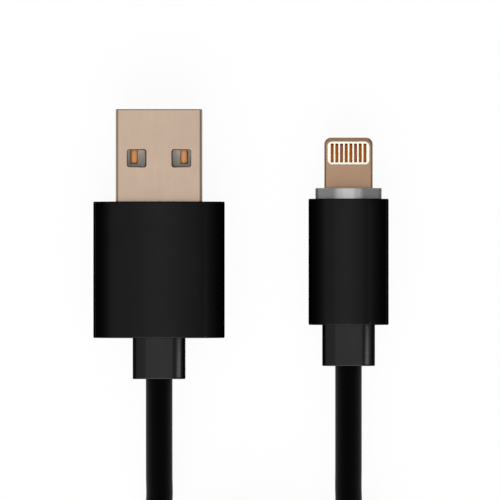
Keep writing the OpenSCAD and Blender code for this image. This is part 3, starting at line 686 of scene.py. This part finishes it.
def strap_width(left):
    """The strap's width where that much is left before its free end, which is a round tongue."""
    short = max(TIE_END_R - left, 0)
    if short < TIE_END_R:
        narrower = TIE_END_R - math.sqrt(TIE_END_R ** 2 - short ** 2)
    else:
        narrower = TIE_END_R - TIE_EDGE
    return TIE_W - 2 * narrower


def make_strap():
    """A hook-and-loop strap round the hank's waist, lapped over itself."""
    middle = resampled(strap_line(), TIE_STEP)
    rings = []
    for k, (x, z) in enumerate(middle):
        along = middle[min(k + 1, len(middle) - 1)] - middle[max(k - 1, 0)]
        along /= np.linalg.norm(along)
        normal = np.array([along[1], -along[0]])
        width = strap_width((len(middle) - 1 - k) * TIE_STEP)
        ring = []
        for across, thick in outline(width, TIE_T, TIE_EDGE, 0, 4, 8):
            p = np.array([x, z]) + normal * thick
            ring.append((p[0], HANK_Y + across, max(p[1], 0)))
        rings.append(ring)
    piece = add_mesh("hank_strap", *loft(rings), STRAP_BLACK, smooth_angle=60)
    return finish_piece(piece, "strap_fabric", "cord_tie")


# ------------------------------------------------------------------ housings and reliefs

# A housing's faces are crowned, and fall more steeply over the shoulders at its sides
USB_CROWN = 0.75
PHONE_CROWN = 0.5
SHOULDER_W = 3.6
SHOULDER_FALL = 1.35
HOUSING_CORNER = 0.45
HOUSING_EDGE = 0.15
LEAD_IN = 0.06
# The thickness of a housing's rear wall
USB_WALL = 1.1
PHONE_WALL = 1.0
# Width, height and corner radius of the hollows and of the collar's seat
USB_CAVITY = (16.0, 6.4, 1.3)
PHONE_CAVITY = (9.5, 5.8, 2.8)
COLLAR_HOLE = (8.3, 4.5, 2.1)
RELIEF_SIZE = (7.3, 5.6)
RELIEF_CORNER = 0.5
# The facets along a relief's long edges: where they start, by share of the half width, how much
# they steepen over a half width, and how far they fall at its sides
RELIEF_FLAT = 0.5
RELIEF_BEND = 0.6
RELIEF_STEEPENING = 1.48
RELIEF_FALL = 0.55
RELIEF_TAPER = math.radians(4)
RELIEF_FIT = 0.05
RELIEF_EDGE = 0.12
# A ring this far from the rear end keeps the long faces flat in their shading
RELIEF_HOLD = 0.3
# A round hole's corner radius is this much less than its half width, so that no side has length 0
ROUND_SLACK = 0.001


def relief_section(inset, behind=0.0):
    """A relief's section at some distance behind its housing, where it is a little lower."""
    w, h = RELIEF_SIZE
    h -= 2 * behind * math.tan(RELIEF_TAPER)
    facets = level_then_slope(RELIEF_FLAT, RELIEF_BEND, RELIEF_STEEPENING)
    return outline(w - 2 * inset, h - 2 * inset, RELIEF_CORNER - inset, RELIEF_FALL,
                   CORNER_STEPS, SIDE_STEPS, facets)


def rounded_bar(body, section_at, front, back, edge):
    """Rings of a bar along Y with rounded end edges. section_at(inset) is its section.

    One more ring near each end keeps the long faces flat in their shading.
    """
    rounding = round_steps(edge) + [(2 * edge, 0)]
    rings = [body.ring(section_at(inset), front - along) for along, inset in rounding]
    rings += [body.ring(section_at(inset), back + along) for along, inset in reversed(rounding)]
    return rings


def make_housing(name, body, crown, wall, bores, node):
    """A sleeve: rounded at both ends, open in front for the plug and behind for the relief.

    bores are its hollow's sections from the rear to the front, each with how deep its front end is.
    """
    w, length, h = body.size

    def shoulders(share):
        past = max(share * w / 2 - w / 2 + SHOULDER_W, 0) / SHOULDER_W
        return (crown * share ** 2 + SHOULDER_FALL * past ** 2) / (crown + SHOULDER_FALL)

    def outer(inset):
        return outline(w - 2 * inset, h - 2 * inset, HOUSING_CORNER - inset, crown + SHOULDER_FALL,
                       CORNER_STEPS, SIDE_STEPS, shoulders)

    rings = []
    back = -length + wall
    for size, depth in bores:
        rings += [body.ring(rounded_section(size), y) for y in (back, -max(depth, LEAD_IN))]
        back = -depth
    rings.append(body.ring(rounded_section(bores[-1][0], LEAD_IN), 0))
    rings += rounded_bar(body, outer, 0, -length, HOUSING_EDGE)
    rings += [body.ring(relief_section(-RELIEF_FIT - LEAD_IN), -length),
              body.ring(relief_section(-RELIEF_FIT), -length + LEAD_IN),
              body.ring(relief_section(-RELIEF_FIT), -length + wall)]
    piece = add_mesh(name, *loft(rings, closed=True), HOUSING_BLACK, smooth_angle=35)
    return finish_piece(piece, "housing_black", node)


def make_relief(name, body, wall, cavity, node):
    """A strain relief: a block with long facets, a flange inside and a hole for the cord."""
    low, high = node_box(node)
    front, back = high[1] - body.origin[1], low[1] - body.origin[1]
    root = -body.size[1]
    flange = rounded_section(cavity, -RELIEF_FIT)
    flange_back = root + wall + RELIEF_FIT
    bore_d = CORD_D + 2 * RELIEF_FIT
    bore = rounded_section((bore_d, bore_d, bore_d / 2 - ROUND_SLACK))
    rings = [body.ring(bore, y) for y in (back, front)]
    rings += [body.ring(flange, y) for y in (front, flange_back)]
    rings += [body.ring(relief_section(0), y) for y in (flange_back, root)]
    rings += [body.ring(relief_section(inset, root - back - along), back + along)
              for along, inset in reversed(round_steps(RELIEF_EDGE) + [(RELIEF_HOLD, 0)])]
    piece = add_mesh(name, *loft(rings, closed=True), RELIEF_GREY, smooth_angle=40)
    return finish_piece(piece, "relief_grey", node)


# ------------------------------------------------------------------ USB plug

SHELL_CORNER = 0.45
SHELL_INNER_CORNER = 0.12
SHELL_WALL = 0.3
SHELL_BOW = 0.06
SHELL_EDGE = 0.06
# Width, length and corner radius of a latch window, and how far its middle lies behind the mouth
WINDOW = (2.5, 2.3, 0.24)
WINDOW_SETBACK = 6.8
WINDOW_ROLL = 0.18
WINDOW_PITCH = 6.26
LIP_STEPS = 8
# The faces of the mouth that look forward by at least this much take the dark cut-edge steel: bare from
# the shears, and darkened as painted shade along the mouth
LIP_PAINTED_SHADE = 0.3
SEAM_GAP = 0.1
SEAM_KEY = 1.1


def make_shell():
    """The folded steel shell: a rolled mouth, four latch windows and a dovetailed seam below."""
    low, high = node_box("usb_shell")
    w, h = high[0] - low[0], high[2] - low[2]
    tip, root = high[1] - usb.origin[1], low[1] - usb.origin[1]

    def wall(inset):
        corner = max(SHELL_CORNER - inset, SHELL_INNER_CORNER)
        return outline(w - 2 * inset, h - 2 * inset, corner, SHELL_BOW, 10, 6)

    lip = SHELL_WALL / 2
    rings = [usb.ring(wall(0), root)]
    for k in range(LIP_STEPS + 1):
        a = math.pi * k / LIP_STEPS
        rings.append(usb.ring(wall(lip - lip * math.cos(a)), tip - lip + lip * math.sin(a)))
    rings.append(usb.ring(wall(SHELL_WALL), root))
    shell = add_mesh("usb_shell_steel", *loft(rings, closed=True), SHELL_STEEL, smooth_angle=35)
    # The mouth's forward faces, and the window and seam walls cut below, get the dark cut-edge steel,
    # which paints shade along those rims
    shell.data.materials.append(SHEARED_STEEL_PAINTED_SHADE)
    for face in shell.data.polygons:
        if face.normal.y > LIP_PAINTED_SHADE:
            face.material_index = 1
    window_y = tip - WINDOW_SETBACK
    windows = [rolled_cutter(*WINDOW, side * WINDOW_PITCH / 2, window_y, h / 2, WINDOW_ROLL)
               for side in (-1, 1)]
    points, faces = merged(windows)
    cut(shell, add_mesh("window_cutter", usb.place(points), faces, SHEARED_STEEL_PAINTED_SHADE))
    seam = seam_outline(tip + PAST, root - PAST, window_y)
    points, faces = prism(seam, -h, -h / 2 + 2 * SHELL_WALL)
    cut(shell, add_mesh("seam_cutter", usb.place(points), faces, SHEARED_STEEL_PAINTED_SHADE))
    bevel(shell, SHELL_EDGE)
    return finish_piece(shell, "shell_steel", "usb_shell")


def seam_outline(front, back, middle):
    """The seam's thin gap: straight, with one dovetail key."""
    g, key, root = SEAM_GAP / 2, SEAM_KEY, SEAM_KEY / 2
    return [
        (-g, front), (-g, middle + root - g), (key - g, middle + key - 3 * g),
        (key - g, middle - key + 3 * g), (-g, middle - root + g), (-g, back),
        (g, back), (g, middle - root - g), (key - g, middle - key - g),
        (key + g, middle - key + g), (key + g, middle + key - g), (key - g, middle + key + g),
        (g, middle + root + g), (g, front),
    ]


USB_CONTACT_X = (-3.5, -1.0, 1.0, 3.5)
USB_CONTACT_T = 0.3
USB_CONTACT_EDGE = 0.04
USB_CONTACT_CROWN = 0.045
# How far behind the shell's mouth the contacts dive into the tongue
USB_CONTACT_BACK = 7.35
# Where a contact's section changes: how far behind its front end, how far below its top, its width
USB_CONTACT_FRONT = ((0, 0.12, 0.7), (0.15, 0.02, 0.94), (0.4, 0, 1.0))
# The same by how far in front of the dive
USB_CONTACT_DIVE = ((1.1, 0, 1.0), (0.6, 0.006, 1.0), (0.3, 0.02, 0.98), (0.1, 0.035, 0.94),
                    (-0.05, 0.048, 0.88), (-0.15, 0.06, 0.8), (-0.6, 0.35, 0.8))


def make_usb_contacts():
    """Four gold strips with crowned faces, whose rear ends round off into the tongue."""
    low, high = node_box("usb_contacts")
    front, back = high[1] - usb.origin[1], low[1] - usb.origin[1]
    top = high[2] - usb.origin[2]
    dive = node_box("usb_shell")[1][1] - usb.origin[1] - USB_CONTACT_BACK
    changes = [(front - behind, drop, w) for behind, drop, w in USB_CONTACT_FRONT]
    changes += [(dive + before, drop, w) for before, drop, w in USB_CONTACT_DIVE]
    changes.append((back, *USB_CONTACT_DIVE[-1][1:]))
    parts = []
    for x in USB_CONTACT_X:
        rings = []
        for y, drop, w in changes:
            z = top - drop - USB_CONTACT_T / 2
            section = outline(w, USB_CONTACT_T, USB_CONTACT_EDGE, USB_CONTACT_CROWN, 3, 10)
            rings.append([usb.origin + (x + px, y, z + pz) for px, pz in section])
        parts.append(loft(rings))
    piece = add_mesh("usb_contact_strips", *merged(parts), USB_GOLD, smooth_angle=50)
    return finish_piece(piece, "contact_gold", "usb_contacts")


# ------------------------------------------------------------------ phone plug

TAB_W = 6.7
TAB_T = 1.5
TAB_REAR = -2.0
TAB_TIP_R = 0.9
# The tip is rounded this many times as far along the tab
TAB_TIP_ROUND = 1.7
TAB_EDGE_R = 0.35
TAB_EDGE_STEPS = 6
TAB_BEVEL = 0.04
DIMPLE_R = 0.6
DIMPLE_OUT = 0.35
DIMPLE_SETBACK = 4.9
BALL_SIDES = 24
BALL_STEPS = 12
# A ball's end rings are this small part of a step away from its poles
BALL_POLE = 0.01
# Width, length and corner radius of the window for the insert, and how far it lies behind the tip
INSERT = (5.85, 3.2, 0.65)
INSERT_SETBACK = 0.53
# The insert itself is smaller all round, with its own corner radius
INSERT_FIT = 0.03
INSERT_CORNER = 0.63
INSERT_BEVEL = 0.02
GROOVE_FIT = 0.02
GROOVE_DEPTH = 0.13
GROOVE_CORNER = 0.05
PIN_PITCH = 0.65
PIN_W = 0.38
PIN_T = 0.11
PIN_EDGE = 0.02
PIN_CROWN = 0.015
PIN_COUNT = 8
# Where a pin's top changes: by share of its length from its middle, how far below the tab's face
PIN_DIPS = ((-0.5, 0.07), (-0.485, 0.05), (-0.44, 0.02), (-0.4, 0.005),
            (0.4, 0.005), (0.44, 0.02), (0.485, 0.05), (0.5, 0.07))


def tab_tip():
    """How far the tab's tip lies in front of the phone plug's housing."""
    return node_box("tab_frame")[1][1] - phone.origin[1]


def insert_middle():
    """How far the insert's middle lies in front of the phone plug's housing."""
    return tab_tip() - INSERT_SETBACK - INSERT[1] / 2


def pin_places():
    """The pins' places across the tab."""
    return [(k - (PIN_COUNT - 1) / 2) * PIN_PITCH for k in range(PIN_COUNT)]


def ball(x, y, radius):
    """A ball round a centre in the tab's middle plane."""
    rings = []
    for k in range(BALL_STEPS + 1):
        down = math.pi * (k + BALL_POLE) / (BALL_STEPS + 2 * BALL_POLE)
        r = radius * math.sin(down)
        turns = [2 * math.pi * s / BALL_SIDES for s in range(BALL_SIDES)]
        rings.append([(x + r * math.cos(a), y + r * math.sin(a), radius * math.cos(down)) for a in turns])
    return loft(rings)


def make_tab():
    """The plated tab: rounded all round, with a window for the insert and latch dimples."""
    tip = tab_tip()
    profile = [(along - TAB_T / 2, inset) for along, inset in round_steps(TAB_EDGE_R, TAB_EDGE_STEPS)]
    profile += [(-z, inset) for z, inset in reversed(profile)]
    rings = []
    for z, inset in profile:
        ring = []
        length = 2 * (tip - TAB_REAR) - 2 * inset * TAB_TIP_ROUND
        for x, y in outline(TAB_W - 2 * inset, length, TAB_TIP_R - inset, 0, 10, 2):
            ring.append(phone.origin + (x, max(TAB_REAR + y, TAB_REAR - 1), z))
        rings.append(ring)
    tab = add_mesh("tab_plated_frame", *loft(rings), TAB_STEEL, smooth_angle=35)
    points, faces = prism(outline_xy(*INSERT, 0, insert_middle()), -TAB_T, TAB_T)
    cut(tab, add_mesh("insert_cutter", phone.place(points), faces, TAB_STEEL))
    for side in (-1, 1):
        points, faces = ball(side * (TAB_W / 2 + DIMPLE_OUT), tip - DIMPLE_SETBACK, DIMPLE_R)
        cut(tab, add_mesh("dimple_cutter", phone.place(points), faces, TAB_STEEL))
    bevel(tab, TAB_BEVEL)
    return finish_piece(tab, "tab_steel", "tab_frame")


def make_insert():
    """The insert: a plate with a groove for each contact on both faces."""
    middle = insert_middle()
    edge = outline_xy(INSERT[0] - 2 * INSERT_FIT, INSERT[1] - 2 * INSERT_FIT, INSERT_CORNER, 0, middle)
    points, faces = prism(edge, -TAB_T / 2, TAB_T / 2)
    insert = add_mesh("contact_insert_plate", phone.place(points), faces, INSERT_WHITE, smooth_angle=35)
    grooves = []
    for face in (-TAB_T / 2, TAB_T / 2):
        for x in pin_places():
            w, l = PIN_W + 2 * GROOVE_FIT, PIN_L + 2 * GROOVE_FIT
            groove = outline_xy(w, l, GROOVE_CORNER, x, middle, 3)
            grooves.append(prism(groove, face - GROOVE_DEPTH, face + GROOVE_DEPTH))
    points, faces = merged(grooves)
    cut(insert, add_mesh("groove_cutter", phone.place(points), faces, INSERT_WHITE))
    bevel(insert, INSERT_BEVEL)
    return finish_piece(insert, "insert_white", "contact_insert")


def make_pins(name, side, node):
    """The contacts of one face: crowned bars whose ends dip into the insert."""
    middle = insert_middle()
    section = outline(PIN_W, PIN_T, PIN_EDGE, PIN_CROWN, 2, 6)
    parts = []
    for x in pin_places():
        rings = []
        for along, dip in PIN_DIPS:
            y = middle + along * PIN_L
            z = TAB_T / 2 - dip - PIN_T / 2
            rings.append([phone.origin + (x + px, y, side * (z + pz)) for px, pz in section])
        parts.append(loft(rings))
    piece = add_mesh(name, *merged(parts), PHONE_GOLD, smooth_angle=50)
    return finish_piece(piece, "contact_gold", node)


COLLAR_CORNER = 0.4
# The collar's slopes: where they start, by share of the half width, and how far they fall
COLLAR_FLAT = 0.12
COLLAR_BEND = 0.46
COLLAR_FALL = 1.72
COLLAR_EDGE = 0.1
# Width, height and corner radius
SPIGOT = (8.2, 4.4, 2.1)
TAB_HOLE = (6.8, 1.6, 0.35)
SPIGOT_L = 1.2


def make_collar():
    """The polished ring round the tab's root, with a spigot inside the housing and the tab's hole."""
    low, high = node_box("collar")
    w, h = high[0] - low[0], high[2] - low[2]
    front = high[1] - phone.origin[1]
    slopes = level_then_slope(COLLAR_FLAT, COLLAR_BEND)

    def section(inset):
        return outline(w - 2 * inset, h - 2 * inset, COLLAR_CORNER - inset, COLLAR_FALL,
                       CORNER_STEPS, SIDE_STEPS, slopes)

    rings = [phone.ring(section(inset), front - along) for along, inset in round_steps(COLLAR_EDGE)]
    rings += [phone.ring(section(0), y) for y in (front - 2 * COLLAR_EDGE, 0)]
    rings += [phone.ring(rounded_section(SPIGOT), y) for y in (0, -SPIGOT_L)]
    rings += [phone.ring(rounded_section(TAB_HOLE), y) for y in (-SPIGOT_L, front)]
    piece = add_mesh("collar_ring", *loft(rings, closed=True), COLLAR_METAL, smooth_angle=5)
    return finish_piece(piece, "collar_metal", "collar")


# ------------------------------------------------------------------ CAD nodes that stay

KEPT_NODES = {
    "usb_insulator": TONGUE_WHITE,
    "usb_rear_shield": TINNED_METAL,
    "usb_inner_mould": MOULD_BLACK,
    "usb_crimp": TINNED_METAL,
    "usb_jacket_end": CORD_BLACK,
    "usb_solder_joints": TINNED_METAL,
    "plug_board": BOARD_GREEN,
    "id_chip": CHIP_BLACK,
    "power_chip": CHIP_BLACK,
    "board_capacitors": CAPACITOR_TAN,
    "phone_inner_mould": MOULD_BLACK,
    "phone_crimp": TINNED_METAL,
    "phone_jacket_end": CORD_BLACK,
    "phone_solder_joints": TINNED_METAL,
}


def dress_kept_nodes():
    """Gives each CAD node that stays its material."""
    leads = {f"{plug}_lead_{colour}": material
             for plug in ("usb", "phone") for colour, material in LEAD_LOOKS.items()}
    for name, material in {**KEPT_NODES, **leads}.items():
        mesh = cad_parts[name].data
        mesh.materials.clear()
        mesh.materials.append(material)


# ------------------------------------------------------------------ floor, lamps and world

FLOOR_HALF = 4000
FLOOR_LEVEL = -0.02
FLOOR_WHITE = (0.9, 0.9, 0.9, 1)
# The share of plain white that the camera and reflections see in the floor
FLOOR_GLOW = 0.94


def make_floor():
    """A white floor that keeps a soft shadow."""
    sides = ((-1, -1), (1, -1), (1, 1), (-1, 1))
    corners = [(x * FLOOR_HALF, y * FLOOR_HALF, FLOOR_LEVEL) for x, y in sides]
    material = bpy.data.materials.new("floor_white")
    material.use_nodes = True
    tree = material.node_tree
    tree.nodes.clear()
    output = tree.nodes.new("ShaderNodeOutputMaterial")
    diffuse = tree.nodes.new("ShaderNodeBsdfDiffuse")
    diffuse.inputs["Color"].default_value = FLOOR_WHITE
    glow = tree.nodes.new("ShaderNodeEmission")
    glow.inputs["Strength"].default_value = 1
    mix = tree.nodes.new("ShaderNodeMixShader")
    share = tree.nodes.new("ShaderNodeMath")
    share.operation = "MULTIPLY"
    share.inputs[1].default_value = FLOOR_GLOW
    tree.links.new(seen_rays(tree), share.inputs[0])
    tree.links.new(share.outputs[0], mix.inputs[0])
    tree.links.new(diffuse.outputs[0], mix.inputs[1])
    tree.links.new(glow.outputs[0], mix.inputs[2])
    tree.links.new(mix.outputs[0], output.inputs["Surface"])
    add_mesh("floor", corners, [(0, 1, 2, 3)], material)


def seen_rays(tree):
    """1 for camera, glossy and transmission rays."""
    path = tree.nodes.new("ShaderNodeLightPath")
    first = tree.nodes.new("ShaderNodeMath")
    second = tree.nodes.new("ShaderNodeMath")
    first.operation = second.operation = "MAXIMUM"
    tree.links.new(path.outputs["Is Camera Ray"], first.inputs[0])
    tree.links.new(path.outputs["Is Glossy Ray"], first.inputs[1])
    tree.links.new(first.outputs[0], second.inputs[0])
    tree.links.new(path.outputs["Is Transmission Ray"], second.inputs[1])
    return second.outputs[0]


# Brightness of the sky by its angle from overhead: left to right, and away behind the tips
SIDE_SKY = ((-90, 0.04), (-75, 0.08), (-67, 0.15), (-59, 0.28), (-50, 0.5), (-38, 0.95),
            (-25, 0.97), (-9, 1.0), (-5, 1.2), (0, 1.7), (5, 1.1), (10, 0.79),
            (22, 0.64), (34, 0.58), (45, 0.45), (54, 0.34), (64, 0.2), (90, 0.03))
TIP_SKY = ((-90, 1.6), (-40, 1.5), (-15, 1.0), (0, 1.0), (15, 0.8), (40, 0.4), (90, 0.3))


def sky_ramp(tree, output, levels):
    """Brightness along one axis of the direction, through a colour ramp."""
    place = tree.nodes.new("ShaderNodeMapRange")
    place.inputs["From Min"].default_value = -1
    ramp = tree.nodes.new("ShaderNodeValToRGB")
    elements = ramp.color_ramp.elements
    while len(elements) < len(levels):
        elements.new(1)
    for element, (angle, level) in zip(elements, levels):
        element.position = (math.sin(math.radians(angle)) + 1) / 2
        element.color = (level, level, level, 1)
    tree.links.new(output, place.inputs["Value"])
    tree.links.new(place.outputs["Result"], ramp.inputs[0])
    return ramp.outputs[0]


def make_world():
    """A sky like a long softbox: brightest over the plugs' length, and dark to each side."""
    world = bpy.data.worlds.new("studio")
    bpy.context.scene.world = world
    world.use_nodes = True
    tree = world.node_tree
    background = tree.nodes["Background"]
    split = tree.nodes.new("ShaderNodeSeparateXYZ")
    mix = tree.nodes.new("ShaderNodeMix")
    mix.data_type = "RGBA"
    mix.blend_type = "MULTIPLY"
    mix.inputs[0].default_value = 1
    tree.links.new(tree.nodes.new("ShaderNodeTexCoord").outputs["Generated"], split.inputs[0])
    tree.links.new(sky_ramp(tree, split.outputs["X"], SIDE_SKY), mix.inputs[MIX_A])
    tree.links.new(sky_ramp(tree, split.outputs["Y"], TIP_SKY), mix.inputs[MIX_B])
    tree.links.new(mix.outputs[MIX_RESULT], background.inputs["Color"])
    background.inputs["Strength"].default_value = 1.0


# Watts for each square metre of a lamp of strength 1
LAMP_WATTS = 4


def add_lamp(name, place, size, strength):
    """An area lamp that faces the object, with its place and size in metres."""
    data = bpy.data.lights.new(name, "AREA")
    data.shape = "RECTANGLE"
    data.size, data.size_y = size
    data.energy = strength * LAMP_WATTS * size[0] * size[1]
    lamp = bpy.data.objects.new(name, data)
    bpy.context.scene.collection.objects.link(lamp)
    lamp.location = place
    x, y, z = place
    lamp.rotation_euler = (math.acos(z / math.hypot(x, y, z)), 0, math.atan2(x, -y))


def make_lamps():
    """A box in front, a weaker one behind, and a small strip whose light the reliefs' facets show."""
    add_lamp("front_box", (0, -1.2, 1.0), (1.8, 1.0), 2.2)
    add_lamp("back_box", (0, 1.5, 0.9), (1.8, 0.7), 0.4)
    add_lamp("right_strip", (0.8, -0.22, 1.14), (0.2, 0.11), 4.6)


# ------------------------------------------------------------------ the scene

make_camera()
cord, route = make_cord()
strap = make_strap()
make_housing("usb_housing", usb, USB_CROWN, USB_WALL, [(USB_CAVITY, 0)], "usb_sleeve")
make_housing("phone_housing", phone, PHONE_CROWN, PHONE_WALL,
             [(PHONE_CAVITY, SPIGOT_L), (COLLAR_HOLE, 0)], "phone_sleeve")
make_relief("usb_relief", usb, USB_WALL, USB_CAVITY, "usb_strain_relief")
make_relief("phone_relief", phone, PHONE_WALL, PHONE_CAVITY, "phone_strain_relief")
make_shell()
make_usb_contacts()
make_tab()
make_insert()
make_pins("front_pins", 1, "front_contacts")
make_pins("back_pins", -1, "back_contacts")
make_collar()
dress_kept_nodes()
make_floor()
make_world()
make_lamps()
bpy.context.scene.view_settings.view_transform = "Standard"
